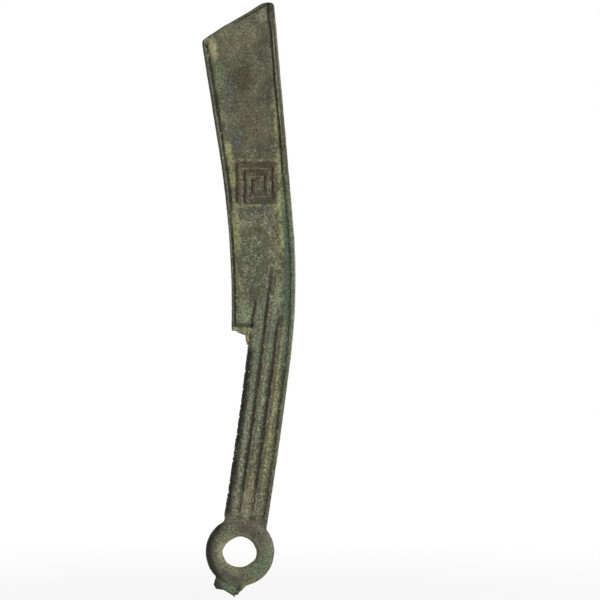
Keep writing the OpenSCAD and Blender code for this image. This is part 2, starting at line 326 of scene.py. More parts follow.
def outline_tree(mesh):
    """A tree of the skin's side walls, flattened to the coin's middle plane."""
    spots, normals = spots_of(mesh)
    walls = spots[(np.abs(normals[:, 1]) < 0.5) & (np.abs(spots[:, 1]) < PLATE * 0.7)]
    tree = KDTree(len(walls))
    for i, (x, _, z) in enumerate(walls):
        tree.insert((x, 0, z), i)
    tree.balance()
    return tree


def relief_tree(face, endings):
    """A tree of the raised solids of one face whose names have the given endings."""
    names = [name for name in RAISED if name.startswith(face) and name.endswith(endings)]
    bm = merged(names)
    tree = BVHTree.FromBMesh(bm)
    bm.free()
    return tree


def outline_gaps(spots):
    """Distance of each spot from the coin's outline, in millimetres."""
    return np.array([work["outline"].find((x, 0, z))[2] for x, _, z in spots])


def relief_gaps(spots, kind):
    """Distance of each spot from the raised solids of its own face, along the plate, in millimetres."""
    trees = work[kind]
    gaps = np.empty(len(spots))
    for i, (x, y, z) in enumerate(spots):
        side = -1 if y < 0 else 1
        gaps[i] = trees[side].find_nearest((x * MM, side * PLATE * MM, z * MM))[3]
    return gaps / MM


def tip_places(spots):
    """How far each spot lies inside the tip's straight line, and its share of the way up along that line."""
    across = spots[:, 0] - TIP_CORNER[0]
    up = spots[:, 2] - TIP_CORNER[1]
    inside = -(across * TIP_OUT[0] + up * TIP_OUT[1])
    share = (across * TIP_OUT[1] - up * TIP_OUT[0]) / TIP_LENGTH
    return inside, share


def tip_bow(spots):
    """How far the casting strays from the straight tip at each spot, as rows of millimetres.

    The tip bows out, and the border of the reverse band runs wider towards the edge.
    """
    inside, share = tip_places(spots)
    bow = TIP_BOW * eased(-0.06, 0.4, share) * (1 - 0.75 * eased(0.88, 1.02, share))
    bow *= 1 - eased(2, 6, inside)
    widened = BAND_WIDER * np.clip(1 - share, 0, 1) * np.interp(inside, (0.3, 2.9, 8), (0, 1, 0))
    bow -= np.where(spots[:, 1] > 0, widened, 0)
    return bow[:, None] * np.array((TIP_OUT[0], 0, TIP_OUT[1]))


def hole_radius(angle):
    """The worn hole's radius, a little wider than the bore and slightly angular."""
    return np.interp(np.degrees(angle), list(HOLE), list(HOLE.values()))


def rubbed_away(angle):
    """How far the ring's outer edge is worn in, mostly low on the spine side."""
    return 0.22 * np.sqrt(np.maximum(np.cos(angle + math.radians(35)), 0)) - 0.06


class Skin:
    """The casting's vertices before wear, as arrays in millimetres, with where on the coin each one lies."""

    def __init__(self, mesh):
        self.spots, self.normals = spots_of(mesh)
        self.x, y, self.z = self.spots.T
        self.side = np.where(y < 0, -1, 1)
        self.height = np.abs(y)
        self.radius = np.hypot(self.x, self.z)
        self.angle = np.arctan2(self.z, self.x)
        self.in_ring = self.radius < RING_R
        self.on_handle = ~self.in_ring & (self.z > 0) & (self.z < HEEL_Z)
        self.in_stub = ~self.in_ring & (self.z < 0)
        self.edge_side = self.x < HANDLE_FOOT + LINE_SLOPE * self.z
        self.outline = work["outline_gap"]
        self.spine_gap = relief_gaps(self.spots, "spine_gap")
        self.edge_gap = relief_gaps(self.spots, "edge_gap")
        points = [Vector(spot) for spot in self.spots]
        self.broad = ripples(points, 7, 1)
        self.middle = ripples(points, 2.2, 2)
        self.fine = ripples(points, 0.8, 3)
        self.grit = ripples(points, 0.4, 4)
        self.pits = eased(0.4, 0.7, ripples(points, 0.7, 5))
        self.drift = np.column_stack([ripples(points, 1.8, seed) for seed in (8, 9)])


def rims_rounded(skin, settings):
    """Rims fall away towards the outline, are rubbed unevenly, and die out above the ring."""
    rolled = skin.on_handle & skin.edge_side & (skin.side < 0)
    rise = np.clip(skin.outline / (settings.shoulder / MM * np.where(rolled, 1.7, 1)), 0, 1)
    low = settings.shoulder_low * np.where(rolled, 0.5, 1)
    skin.height *= np.where(skin.in_ring, 1, low + (1 - low) * np.sqrt(1 - (1 - rise) ** 2))
    above = np.maximum(skin.height - PLATE, 0)
    rubbed = 0.88 + 0.22 * skin.broad + 0.12 * skin.middle
    rubbed -= 0.3 * (skin.side < 0) * (1 - eased(0.2, 0.6, skin.spine_gap))
    rubbed -= 0.75 * (skin.side > 0) * (1 - eased(0.1, 0.4, skin.edge_gap)) * eased(86, 100, skin.z)
    inside, share = tip_places(skin.spots)
    low_tip = (1 - eased(0.35, 0.65, share)) * eased(0.0, 0.1, share)
    rubbed -= 0.6 * (skin.side < 0) * (inside < 1.2) * low_tip
    neck = eased(0, settings.neck / MM, skin.radius - RING_R + 0.6 * skin.middle)
    keep = np.where(skin.on_handle, rubbed * neck, np.where(skin.in_ring, 1, rubbed))
    skin.height -= above * (1 - np.minimum(keep, 1))


def lines_run_out(skin, settings):
    """Ribs, and the lines that the handle's rims send up the blade, sink in at their upper ends."""
    length = settings.run_out / MM
    for name in RAISED:
        if name.endswith(("_rib", "handle_rim")):
            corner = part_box(name)[1] / MM
            below = corner.z - skin.z
            middle = corner.x - LINE_HALF - below * LINE_SLOPE
            here = (below > -1) & (below < length) & (np.abs(skin.x - middle) < 1)
            here &= skin.side == SIGNS[name.split("_")[0]]
            sunk = np.maximum(skin.height - PLATE, 0) * (1 - eased(-0.3, length, below))
            skin.height -= np.where(here, sunk, 0)


def ring_domed(skin, settings):
    """The ring is domed between its hole and its edge, and stays thick where handle and stub join it."""
    hole = hole_radius(skin.angle)
    across = np.clip((skin.radius - hole) / (RING_R - hole), 0, 1)
    near_stub = np.maximum(np.cos(skin.angle - STUB_ANGLE), 0) ** 6
    near_handle = eased(0.66, 0.85, np.cos(skin.angle - HANDLE_ANGLE))
    low = settings.ring_low + np.maximum(0.36 * near_stub, 0.31 * near_handle)
    low = np.where(across < 0.5, settings.hole_low, low)
    dome = 1 - (1 - low) * np.abs(2 * across - 1) ** 2
    skin.height *= np.where(skin.in_ring, dome, 1)


def grooves_opened(skin, settings):
    """Grooves lie along the edge rims and inside the reverse spine rim, with a patchy crust beyond them."""
    field = (skin.height < PLATE + 0.12) & ~skin.in_ring
    groove = settings.groove / MM * np.exp(-((skin.edge_gap - 0.4) / 0.3) ** 2)
    groove *= 0.8 + 0.6 * skin.middle
    groove *= np.where(skin.side > 0, 0.4 * (1 - eased(86, 96, skin.z)), 1)
    deep = settings.spine_groove / MM * np.exp(-((skin.spine_gap - 0.35) / 0.3) ** 2)
    deep *= 0.7 + 0.6 * skin.middle
    gap = np.minimum(skin.edge_gap, skin.spine_gap)
    crust = settings.crust / MM * eased(0.6, 1.2, gap) * (1 - eased(1.7, 2.9, gap))
    crust *= eased(-0.1, 0.4, skin.middle + 0.5 * skin.broad)
    skin.height += np.where(field, crust - groove - deep * (skin.side > 0), 0)

    # Low on the obverse the edge rim is only a thin wall, and the groove lies hard against it.
    thin = eased(0.42, 0.6, skin.outline) * (1 - eased(74, 82, skin.z))
    thin *= eased(HEEL_Z + 0.9, HEEL_Z + 1.6, skin.z)
    thin *= (skin.side < 0) * (1 - eased(0.05, 0.3, skin.edge_gap))
    skin.height -= thin * np.maximum(skin.height - PLATE + 0.1, 0)


def walls_sunk(skin, settings):
    """How far each side wall is worn in. The handle's edge side is bitten, the tip's corners are rounded."""
    bitten = skin.on_handle & (skin.normals[:, 0] < 0) & (skin.z < HEEL_Z - 4)
    bites = settings.bite / MM * eased(-0.3, 0.6, skin.fine + 0.6 * skin.grit) * bitten
    ring_wall = eased(RING_R - 2, RING_R - 0.3, skin.radius) * (skin.radius < RING_R + 0.3)
    broken = skin.in_stub * (0.1 + 0.22 * np.abs(skin.fine) + 0.1 * skin.grit)
    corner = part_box("obverse_tip_rim")[0] / MM
    rounded = 0.2 * np.exp(-((skin.x - corner.x) ** 2 + (skin.z - corner.z) ** 2) / 0.8)
    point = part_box("obverse_tip_rim")[1] / MM
    rounded += 0.3 * np.exp(-((skin.x - point.x) ** 2 + (skin.z - point.z) ** 2) / 0.9)
    return 0.1 + 0.06 * skin.middle + bites + ring_wall * rubbed_away(skin.angle) + broken + rounded


def stub_filled(skin, settings):
    """How far the metal in the corner between stub and ring stands out from the ring's middle."""
    about = np.exp(-((skin.angle - STUB_CORNER) / math.radians(7)) ** 2)
    return settings.stub_fill / MM * about * eased(6, 8, skin.radius) * (1 - eased(8.6, 10.4, skin.radius))


def worn(mesh, settings):
    """Wears the skin down by moving its vertices."""
    skin = Skin(mesh)
    rims_rounded(skin, settings)
    lines_run_out(skin, settings)
    ring_domed(skin, settings)
    grooves_opened(skin, settings)

    # The skin is uneven, pitted, and coarser on the handle, the ring and the stub.
    coarse = 0.65 + 0.35 * eased(95, 80, skin.z)
    coarse = np.where(skin.on_handle, 1.4, np.where(skin.in_ring, 1, coarse)) + 0.5 * skin.in_stub
    swell = 0.04 * skin.broad + 0.04 * skin.middle + 0.04 * skin.fine + 0.03 * skin.grit
    swell = swell * coarse - 0.09 * skin.pits
    moved = np.column_stack((skin.x, skin.side * skin.height, skin.z))
    moved += skin.normals * swell[:, None]

    # Borders inside the outline wander a little, and side walls are worn in.
    flat = moved[:, [0, 2]]
    flat += settings.wander / MM * skin.drift * eased(0.3, 1.4, skin.outline)[:, None]
    flat -= skin.normals[:, [0, 2]] * walls_sunk(skin, settings)[:, None]

    # The hole's wall is drawn out to the worn hole.
    bore = frame["record"]["mounts"][0]["dims"]["r_mm"]
    give = hole_radius(skin.angle) - bore + 0.08 * skin.middle + 0.1 * skin.fine
    give *= np.clip(1 - (skin.radius - bore) / 2.6, 0, 1) ** 1.5
    give = np.where(skin.in_ring, give, 0) + stub_filled(skin, settings)
    flat *= (1 + give / np.maximum(skin.radius, bore))[:, None]
    moved[:, [0, 2]] = flat
    moved += tip_bow(skin.spots)
    mesh.vertices.foreach_set("co", (moved * MM).ravel())
    mesh.update()


def marked(mesh):
    """Marks the skin's own faces, so that those that a cut adds later are known from them."""
    skin = mesh.attributes.new("skin", "INT", "FACE")
    skin.data.foreach_set("value", np.ones(len(mesh.polygons), dtype=np.int32))


def softened_where(obj, chosen, rounds):
    """Wears the skin at the chosen vertices alone."""
    group = obj.vertex_groups.new(name="chosen")
    group.add(np.flatnonzero(chosen).tolist(), 1, "REPLACE")
    softened(obj, rounds, group.name)
    obj.vertex_groups.clear()


def filleted(obj, settings):
    """Smooths the corner where the handle meets the ring."""
    spots, _ = spots_of(obj.data)
    near = np.abs(np.hypot(spots[:, 0], spots[:, 2]) - RING_R) < settings.fillet / MM
    near &= np.abs(np.arctan2(spots[:, 2], spots[:, 0]) - HANDLE_ANGLE) < FILLET_REACH
    softened_where(obj, near, FILLET_ROUNDS)


def cutter(names):
    """A closed cutter from raised solids, drawn out of the face to take all that stands over them."""
    bm = merged(names)
    for vert in bm.verts:
        if abs(vert.co.y) > (PLATE + MERGE) * MM:
            vert.co.y = math.copysign(CUTTER_REACH * MM, vert.co.y)

    # At the tip it follows the bow, and its outer wall stands clear of the casting.
    spots = np.array([vert.co for vert in bm.verts]) / MM
    inside, _ = tip_places(spots)
    clear = (inside < TIP_WALL)[:, None] * np.array((TIP_OUT[0], 0, TIP_OUT[1]))
    for vert, spot in zip(bm.verts, spots + tip_bow(spots) + clear):
        vert.co = Vector(spot) * MM
    return placed("cutter", bm)


def cut(obj, tool, operation):
    """Keeps what lies inside the cutter, or outside it."""
    boolean = obj.modifiers.new("cut", "BOOLEAN")
    boolean.solver = "MANIFOLD"
    boolean.operation = operation
    boolean.object = tool
    settled(obj)


def portion(name, tool):
    """A new piece: the part of the casting that lies inside the cutter."""
    piece = bpy.data.objects.new("portion_" + name, work["casting"].data)
    bpy.context.scene.collection.objects.link(piece)
    cut(piece, tool, "INTERSECT")
    finished(piece, name)


def portions(names):
    """Cuts each named solid's portion out of the casting. The solids don't touch one another."""
    for name in names:
        tool = cutter([name])
        portion(name, tool)
        removed(tool)
    tool = cutter(names)
    cut(work["casting"], tool, "DIFFERENCE")
    removed(tool)


def slice_between(low, high):
    """A wide block between two heights, in millimetres."""
    bm = bmesh.new()
    bmesh.ops.create_cube(bm, size=1)
    bmesh.ops.scale(bm, vec=Vector((100, 2 * CUTTER_REACH, high - low)) * MM, verts=bm.verts)
    bmesh.ops.translate(bm, vec=Vector((0, 0, (low + high) / 2)) * MM, verts=bm.verts)
    return placed("slice", bm)


def crumbs_dropped(bm):
    """Deletes the loose shells of a few points and the empty faces that a cut may leave behind."""
    left = set(bm.verts)
    crumbs = []
    while left:
        start = left.pop()
        shell = [start]
        ends = [start]
        while ends:
            vert = ends.pop()
            for edge in vert.link_edges:
                other = edge.other_vert(vert)
                if other in left:
                    left.remove(other)
                    shell.append(other)
                    ends.append(other)
        if len(shell) < CRUMB:
            crumbs += shell
    bmesh.ops.delete(bm, geom=crumbs, context="VERTS")
    bmesh.ops.dissolve_degenerate(bm, dist=SLIVER * MM, edges=bm.edges)


def finished(piece, node):
    """Shades a cut piece, measures it for its patina, and puts it in its node's place."""
    bm = bmesh.new()
    bm.from_mesh(piece.data)
    crumbs_dropped(bm)
    skin = bm.faces.layers.int["skin"]
    for edge in bm.edges:
        edge.smooth = all(face[skin] for face in edge.link_faces)
    for face in bm.faces:
        face.smooth = True
    bm.to_mesh(piece.data)
    bm.free()
    bowed, _ = spots_of(piece.data)
    spots = bowed
    for _ in range(UNBOW_ROUNDS):
        spots = bowed - tip_bow(spots)
    measures = {kind: relief_gaps(spots, kind) for kind in GAPS}
    measures["height"] = np.abs(spots[:, 1]) - PLATE
    measures["outline"] = outline_gaps(spots)
    for name, values in measures.items():
        attribute = piece.data.attributes.new(name + "_mm", "FLOAT", "POINT")
        attribute.data.foreach_set("value", values.astype(np.float32))
    piece.data.materials.clear()
    piece.data.materials.append(patina(SLOTS[node]))
    piece.data.name = "visual_" + node
    piece.name = "visual_" + node
    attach(piece, "root")
    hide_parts(node)


def add(tree, kind, links=None, values=None, **settings):
    """Adds a shader node with its settings, socket values and links."""
    node = tree.nodes.new("ShaderNode" + kind)
    for key, value in settings.items():
        setattr(node, key, value)
    for socket, value in (values or {}).items():
        node.inputs[socket].default_value = value
    for socket, source in (links or {}).items():
        tree.links.new(source, node.inputs[socket])
    return node


# Patches of the patina, one of them painted light: face, middle across and up, half width, half height, lean
# in degrees, colour and strength. Lengths are millimetres. Patches and coats together stay under about 100,
# because the renderer can't hold a much bigger shader and shows the coin black.
PATCHES = {
    "dusty_back": ("reverse", 2.0, 60.0, 60.0, 90.0, 0, "#737963", 0.6),
    "dusty_ring": ("obverse", 0.0, 0.0, 8.3, 8.3, 0, "#6c6e5b", 0.6),
    "khaki_corner": ("obverse", -6.4, 116.6, 1.2, 2.6, -12, "#969270", 1.0),
    "yellow_tip": ("obverse", -4.0, 119.9, 1.3, 0.8, -30, "#827c56", 0.7),
    "pale_point": ("obverse", 5.0, 124.0, 1.4, 1.6, 20, "#83846b", 0.8),
    "dusty_tip": ("obverse", 0.6, 119.2, 5.6, 2.8, -28, "#747059", 0.75),
    "olive_shoulder": ("obverse", 0.6, 109.4, 2.4, 3.8, 0, "#474331", 0.9),
    "slate_shoulder": ("obverse", -2.6, 106.0, 1.4, 4.6, -8, "#595a52", 0.7),
    "green_shoulder": ("obverse", -5.0, 110.0, 1.5, 3.4, -8, "#6a7354", 0.75),
    "dark_spine_field": ("obverse", 6.5, 108.0, 1.0, 5.0, -5, "#45463a", 0.7),
    "brown_middle": ("obverse", 3.4, 99.6, 3.4, 4.6, -5, "#5e5644", 0.6),
    "slate_middle": ("obverse", -1.0, 95.6, 1.5, 2.6, -8, "#4e524b", 0.7),
    "crust_edge_top": ("obverse", -2.9, 92.6, 1.1, 3.0, -8, "#96986d", 0.95),
    "crust_edge_middle": ("obverse", -1.7, 86.4, 1.4, 2.0, 0, "#929369", 0.8),
    "crust_edge_low": ("obverse", -1.0, 74.5, 1.0, 6.5, -3, "#909065", 0.8),
    "crust_edge_foot": ("obverse", -0.9, 63.5, 0.7, 4.0, 0, "#7d7c56", 0.7),
    "crust_spine_top": ("obverse", 8.3, 100.0, 0.6, 5.0, -5, "#8b8a5e", 0.85),
    "crust_spine_upper": ("obverse", 8.9, 90.0, 0.9, 3.4, -5, "#7f8358", 0.75),
    "crust_spine_middle": ("obverse", 9.4, 80.5, 1.1, 2.8, -2, "#949a69", 0.95),
    "crust_spine_low": ("obverse", 9.7, 73.0, 0.7, 4.6, 0, "#8a9062", 0.85),
    "rusty_spine_field": ("obverse", 8.1, 72.0, 1.0, 5.5, 0, "#6f6549", 0.75),
    "slate_mark_foot": ("obverse", 3.4, 80.0, 3.4, 2.8, 0, "#4b5143", 0.8),
    "grey_low_field": ("obverse", 3.0, 67.5, 4.2, 7.5, 0, "#5c604d", 0.6),
    "pale_spine_foot": ("obverse", 8.6, 59.0, 1.0, 4.2, 6, "#828868", 0.75),
    "teal_spine_foot": ("obverse", 10.6, 59.0, 1.0, 3.0, 4, "#55685a", 0.75),
    "dusty_heel": ("obverse", 1.0, 55.2, 2.2, 3.0, 0, "#7c8668", 0.85),
    "pale_flash": ("obverse", 1.5, 49.4, 1.0, 2.2, 10, "#8a8a62", 0.95),
    "green_grip_top": ("obverse", 6.2, 47.0, 3.4, 6.5, 7.5, "#6e7a63", 0.65),
    "green_foot": ("obverse", 6.4, 55.5, 2.4, 4.0, 7, "#76816a", 0.6),
    "yellow_channel": ("obverse", 7.3, 32.5, 0.9, 20.0, 7.5, "#8a885f", 0.9),
    "green_channel": ("obverse", 4.6, 35.0, 0.75, 13.0, 7.5, "#838d6e", 0.9),
    "khaki_channel": ("obverse", 1.9, 13.5, 1.2, 7.0, 7.5, "#7f7a5c", 0.8),
    "grey_channel": ("obverse", 1.5, 30.0, 0.8, 18.0, 7.5, "#7b7f69", 0.85),
    "teal_handle_top": ("obverse", 10.7, 47.5, 0.9, 5.5, 7, "#5d6b5f", 0.7),
    "mauve_ring_top": ("obverse", 1.8, 6.2, 2.4, 0.9, -10, "#59504a", 0.7),
    "mauve_ring": ("obverse", -2.0, -5.9, 2.8, 0.8, 28, "#4b4645", 0.75),
    "green_ring": ("obverse", 4.6, -2.6, 1.4, 4.6, 40, "#627459", 0.7),
    # Painted light: khaki on the ring's inner slope left of the hole, the slope that faces the lamp
    "khaki_hole_painted_light": ("obverse", -4.7, 0.6, 0.8, 2.2, 0, "#87846a", 0.7),
    "yellow_ring_low": ("obverse", 2.6, -7.3, 2.2, 0.7, -16, "#77744e", 0.75),
    "green_stub": ("obverse", -2.8, -8.6, 2.8, 1.5, 26, "#5f6f58", 0.9),
    "brown_wedge": ("reverse", 3.0, 114.2, 2.8, 1.6, -25, "#675d4d", 0.65),
    "pale_wedge": ("reverse", 0.7, 117.3, 5.8, 2.2, -33, "#7f987f", 0.85),
    "pale_wedge_spine": ("reverse", 4.2, 120.0, 1.8, 2.2, -31, "#94ac92", 0.7),
    "green_mark": ("reverse", 4.0, 87.9, 1.3, 2.3, 0, "#6f8d71", 0.7),
    "olive_back_spine": ("reverse", 9.0, 31.0, 0.9, 21.0, 7.5, "#5d593f", 0.7),
    "green_back_grip": ("reverse", 0.9, 26.0, 1.9, 20.0, 7.5, "#86937b", 0.75),
    "pale_back_ring": ("reverse", -5.6, 0.0, 2.2, 5.0, 0, "#828a74", 0.7),
    "green_back_stub": ("reverse", -4.0, -8.2, 2.2, 1.3, 20, "#84967a", 0.75),
    "yellow_ring": ("reverse", 5.8, 4.4, 0.8, 2.3, -38, "#86825a", 0.75),
    "mauve_ring_back": ("reverse", 5.2, 0.2, 1.0, 4.4, 8, "#6b6266", 0.8),
}

# Sizes of the patina's noises, in millimetres. Dust and powder are finer on a real coin, and are drawn as
# coarse as they need to show. The shake makes the borders of patches ragged.
NOISES = {"tone": 9, "cloud": 3.2, "mottle": 1.5, "grain": 0.75, "dust": 0.45, "powder": 0.28, "thread": 1.7}
SHAKE_SIZE = 1.3
SHAKE_REACH = 2.4
SPECK_SIZE = 0.85

# What each slot's material is called
TITLES = {"field_patina": "Cast bronze field", "worn_bronze": "Rubbed bronze", "verdigris": "Green bronze"}

# Settings of a smooth step, which keeps to its range without a clamp
STEP = {"interpolation_type": "SMOOTHSTEP", "clamp": False}

# Each face as a share that turns from 0 to 1 over these places through the plate, in millimetres
OBVERSE = ("y", 0.1, -0.1)
REVERSE = ("y", -0.1, 0.1)
FACES = {"obverse": OBVERSE, "reverse": REVERSE}

# Coats laid over the patches, in order: colour, strength, and the measures that bound them. A coat is bare at
# a measure's first value and full at its second. Gaps and heights are millimetres. Noises run from 0 to 1.
# Several coats paint shade, a shadow, a highlight and light, as their comments say.
COATS = {
    "pale_back_neck": ("#87957c", 0.65, ("z", 6.0, 7.2), ("z", 11.0, 8.8), ("x", 3.0, 1.0),
                       ("cloud", 0.3, 0.5), REVERSE),
    "dark_ring_back": ("#3d3b31", 0.75, ("radius", 6.6, 7.4), ("x", -5.5, -6.5), ("z", 1.5, 0.0),
                       ("z", -4.0, -2.0), REVERSE),
    "mauve_ring_foot": ("#6f676a", 0.7, ("radius", 4.6, 5.4), ("radius", 7.2, 6.4), ("x", 0.0, 1.5),
                        ("z", -3.0, -4.5), ("cloud", 0.3, 0.5), REVERSE),
    "rusty_hole_back": ("#5b4838", 0.75, ("radius", 5.6, 4.8), ("z", -3.6, -4.4), ("x", -2.8, -1.8),
                        ("x", 1.6, 0.8), REVERSE),
    "yellow_hole_back": ("#88855c", 0.75, ("radius", 5.2, 4.4), ("x", 1.6, 2.4), ("z", -1.2, -2.0), REVERSE),
    "edge_crust": ("#86875f", 0.7, ("edge_gap", 2.6, 1.2), ("edge_gap", 0.6, 1.0), ("cloud", 0.46, 0.58),
                   OBVERSE, ("z", 56, 62), ("z", 110, 98)),
    "back_crust": ("#77825f", 0.5, ("rim_gap", 2.6, 1.2), ("rim_gap", 0.4, 0.9), ("cloud", 0.44, 0.58),
                   REVERSE),
    "mark_crust": ("#8b8964", 0.65, ("line_gap", 0.2, 0.45), ("line_gap", 1.3, 0.6), ("mottle", 0.42, 0.58),
                   ("z", 62, 70)),
    "edge_groove": ("#17170f", 0.95, ("edge_gap", 0.8, 0.35), ("height", 0.3, 0.1), ("mottle", 0.24, 0.42),
                    OBVERSE, ("tip_gap", 0.4, 1.2), ("z", 74, 82)),
    "tip_line": ("#24231b", 0.9, ("tip_gap", 0.45, 0.15), ("height", 0.35, 0.1), ("x", -3, 1), OBVERSE),
    # Painted shade: a dark line at the foot of the obverse spine rim, on its inner side, away from the lamp
    "spine_line_painted_shade": ("#2f2e24", 0.8, ("spine_gap", 0.55, 0.2), ("height", 0.3, 0.1), OBVERSE, ("z", 80, 88)),
    "spine_teal": ("#485a47", 0.8, ("outline", 0.9, 1.3), ("spine_gap", 1.6, 0.8), OBVERSE, ("z", 86, 80),
                   ("z", 51, 55), ("mottle", 0.25, 0.45)),
    # Painted shade: the same dark line inside the spine rim, lighter, along the handle
    "grip_spine_line_painted_shade": ("#46422f", 0.6, ("spine_gap", 0.55, 0.2), ("height", 0.3, 0.1), OBVERSE, ("z", 52, 48)),
    "back_groove": ("#3f3f30", 0.5, ("rim_gap", 0.6, 0.15), ("height", 0.3, 0.1), ("mottle", 0.35, 0.5),
                    REVERSE, ("z", 100, 92)),
    "back_tip_line": ("#4a4a38", 0.6, ("tip_gap", 0.5, 0.15), ("height", 0.3, 0.1), REVERSE),
    "spine_groove": ("#33291a", 0.88, ("spine_gap", 1.0, 0.5), ("height", 0.3, 0.1), ("mottle", 0.26, 0.42),
                     REVERSE, ("z", 48, 52)),
    "spine_lip": ("#705c49", 0.6, ("spine_gap", 0.7, 0.9), ("spine_gap", 1.4, 1.1), ("z", 92, 104), REVERSE),
    "line_foot": ("#33312a", 0.5, ("line_gap", 0.55, 0.15), ("line_gap", 0.02, 0.1), ("height", 0.2, 0.05),
                  ("z", 50, 62)),
    "rubbed_mark": ("#4a3c2b", 0.75, ("line_gap", 0.3, 0.1), ("height", 0.05, 0.18), ("z", 60, 68), OBVERSE),
    # Dark brown on the handle's ribs: rubbed dark metal, widened into painted shade beside the ribs
    "rubbed_rib_and_painted_shade": ("#3a3629", 0.75, ("line_gap", 0.65, 0.2), ("z", 68, 60), OBVERSE),
    "rib_top": ("#5a5444", 0.75, ("line_gap", 0.1, 0.0), ("height", 0.12, 0.24), ("z", 62, 54), OBVERSE),
    "rim_top": ("#5c5b47", 0.6, ("rim_gap", 0.1, 0.0), ("height", 0.1, 0.25), OBVERSE),
    "spine_rim_green": ("#5b674f", 0.65, ("spine_gap", 0.1, 0.0), ("z", 92, 82), ("z", 28, 46),
                        ("mottle", 0.2, 0.5), OBVERSE),
    "green_slope": ("#7d8971", 0.6, ("spine_gap", 0.1, 0.0), ("outline", 0.5, 0.25), ("z", 84, 76),
                    ("z", 40, 50), OBVERSE),
    "edge_groove_low": ("#1d1f17", 0.92, ("outline", 0.48, 0.62), ("edge_gap", 0.4, 0.1), ("z", 82, 74),
                        ("z", 52.2, 52.8), ("mottle", 0.14, 0.3), OBVERSE),
    # Painted shadow: a dark band on the field just above the heel's rim
    "heel_painted_shadow": ("#3a3b2b", 0.8, ("edge_gap", 1.2, 0.9), ("z", 51.9, 52.2), ("z", 53.3, 52.8),
                  ("x", 4.2, 3.6), OBVERSE),
    "heel_break": ("#8b8d68", 0.85, ("outline", 1.15, 0.85), ("z", 52.4, 52.0), ("z", 50.4, 50.9),
                   ("x", 4.0, 3.2), ("dust", 0.3, 0.5), OBVERSE),
    "back_spine_top": ("#6a6a57", 0.6, ("spine_gap", 0.1, 0.0), ("height", 0.1, 0.25), REVERSE,
                       ("z", 48, 56)),
    "back_edge_band": ("#6f785f", 0.6, ("edge_gap", 0.7, 0.0), ("mottle", 0.25, 0.5), REVERSE),
    "back_edge_green": ("#788669", 0.6, ("edge_gap", 1.2, 0.2), ("mottle", 0.3, 0.5), ("z", 84, 98), REVERSE),
    "back_tip_band": ("#7e8d70", 0.7, ("tip_gap", 0.1, 0.0), ("mottle", 0.2, 0.5), REVERSE),
    # Painted shade: a near-black band along the handle's edge side, which faces away from the lamp
    "grip_border_painted_shade": ("#1f1b13", 0.95, ("outline", 2.1, 1.35), ("spine_gap", 2.0, 3.5), ("z", 48, 46),
                    ("z", 7, 10), ("mottle", 0.2, 0.4), OBVERSE),
    "pale_neck": ("#8a8870", 0.5, ("z", 7.8, 9.0), ("z", 16.0, 12.5), ("x", -2.4, -1.2), ("x", 4.4, 3.0),
                  ("mottle", 0.3, 0.5), OBVERSE),
    "spine_slope": ("#40382b", 0.7, ("spine_gap", 0.1, 0.0), ("outline", 1.0, 0.8), ("outline", 0.3, 0.55),
                    OBVERSE, ("z", 84, 96)),
    # Painted light: the spine rim's outer slope near the tip, which faces the lamp, is lightened
    "spine_slope_painted_light": ("#7f7d69", 0.7, ("spine_gap", 0.1, 0.0), ("outline", 0.55, 0.3), OBVERSE, ("z", 98, 110)),
    # Painted highlight: a pale line along the crest of the obverse spine rim
    "spine_crest_painted_highlight": ("#8f8773", 0.85, ("spine_gap", 0.1, 0.0), ("outline", 0.88, 1.0), ("outline", 1.2, 1.08),
                   OBVERSE, ("z", 92, 104), ("z", 123, 119), ("mottle", 0.32, 0.48)),
    "dark_point": ("#33342a", 0.75, ("x", 5.0, 6.0), ("z", 122.6, 124.2), ("outline", 1.4, 0.9), OBVERSE),
    "hole_lip": ("#7f7b5e", 0.55, ("radius", 5.4, 4.3), ("cloud", 0.35, 0.5)),
    "ring_shade": ("#473f36", 0.6, ("radius", 4.1, 4.8), ("radius", 7.2, 5.8), ("z", 1.5, 4.0),
                   ("x", -1.5, 1.5), ("mottle", 0.2, 0.5), OBVERSE),
    "stub_edge": ("#1f211a", 0.75, ("outline", 0.75, 0.3), ("z", -6.5, -7.5), ("mottle", 0.3, 0.5),
                  ("x", 0.5, -0.5)),
    "back_ring_line": ("#403d33", 0.8, ("radius", 5.9, 6.4), ("radius", 7.5, 6.9), ("x", 2.5, 4.0),
                       ("z", -6.0, -4.5), ("z", 6.5, 5.0), ("mottle", 0.22, 0.42), REVERSE),
    # Painted shade: the ring's outer edge on its left, the side away from the lamp, is darkened
    "ring_edge_painted_shade": ("#26251c", 0.85, ("radius", 5.9, 7.4), ("x", -2.5, -5.5), ("z", 9, 7),
                  ("cloud", 0.25, 0.45), OBVERSE),
    # Painted shade: a dark line along the outline above the heel, kept off the spine side, where the edges
    # turn from the lamp
    "outline_painted_shade": ("#2c2b22", 0.75, ("outline", 0.45, 0.15), ("spine_gap", 1.0, 2.5),
                     ("mottle", 0.25, 0.45), ("z", 51, 53)),
    "veins": ("#8f9177", 0.7, ("vein", 0.035, 0.012), ("z", 84, 76), ("z", 55, 60), ("rim_gap", 1.0, 2.0),
              ("cloud", 0.4, 0.55)),
    "tip_blots": ("#504f3e", 0.4, ("mottle", 0.48, 0.38), ("z", 110, 116), ("rim_gap", 0.6, 1.5),
                  ("x", -4.5, -3.0), OBVERSE),
    "pits": ("#35342b", 0.5, ("grain", 0.42, 0.33), ("z", 104, 80), ("z", 48, 54), OBVERSE),
    "grip_pits": ("#2d2c24", 0.4, ("grain", 0.47, 0.39), ("z", 52, 46), ("z", 7, 10), OBVERSE),
    "grains": ("#a0a188", 0.5, ("speck", 0.34, 0.16), ("mottle", 0.48, 0.6), ("z", 140, 84), ("z", 8, 14)),
    "grip_grains": ("#a3a48a", 0.35, ("dust", 0.57, 0.66), ("z", 40, 26), ("z", 6, 9), ("rim_gap", 0.1, 0.4),
                    ("line_gap", 0.1, 0.4), OBVERSE),
}


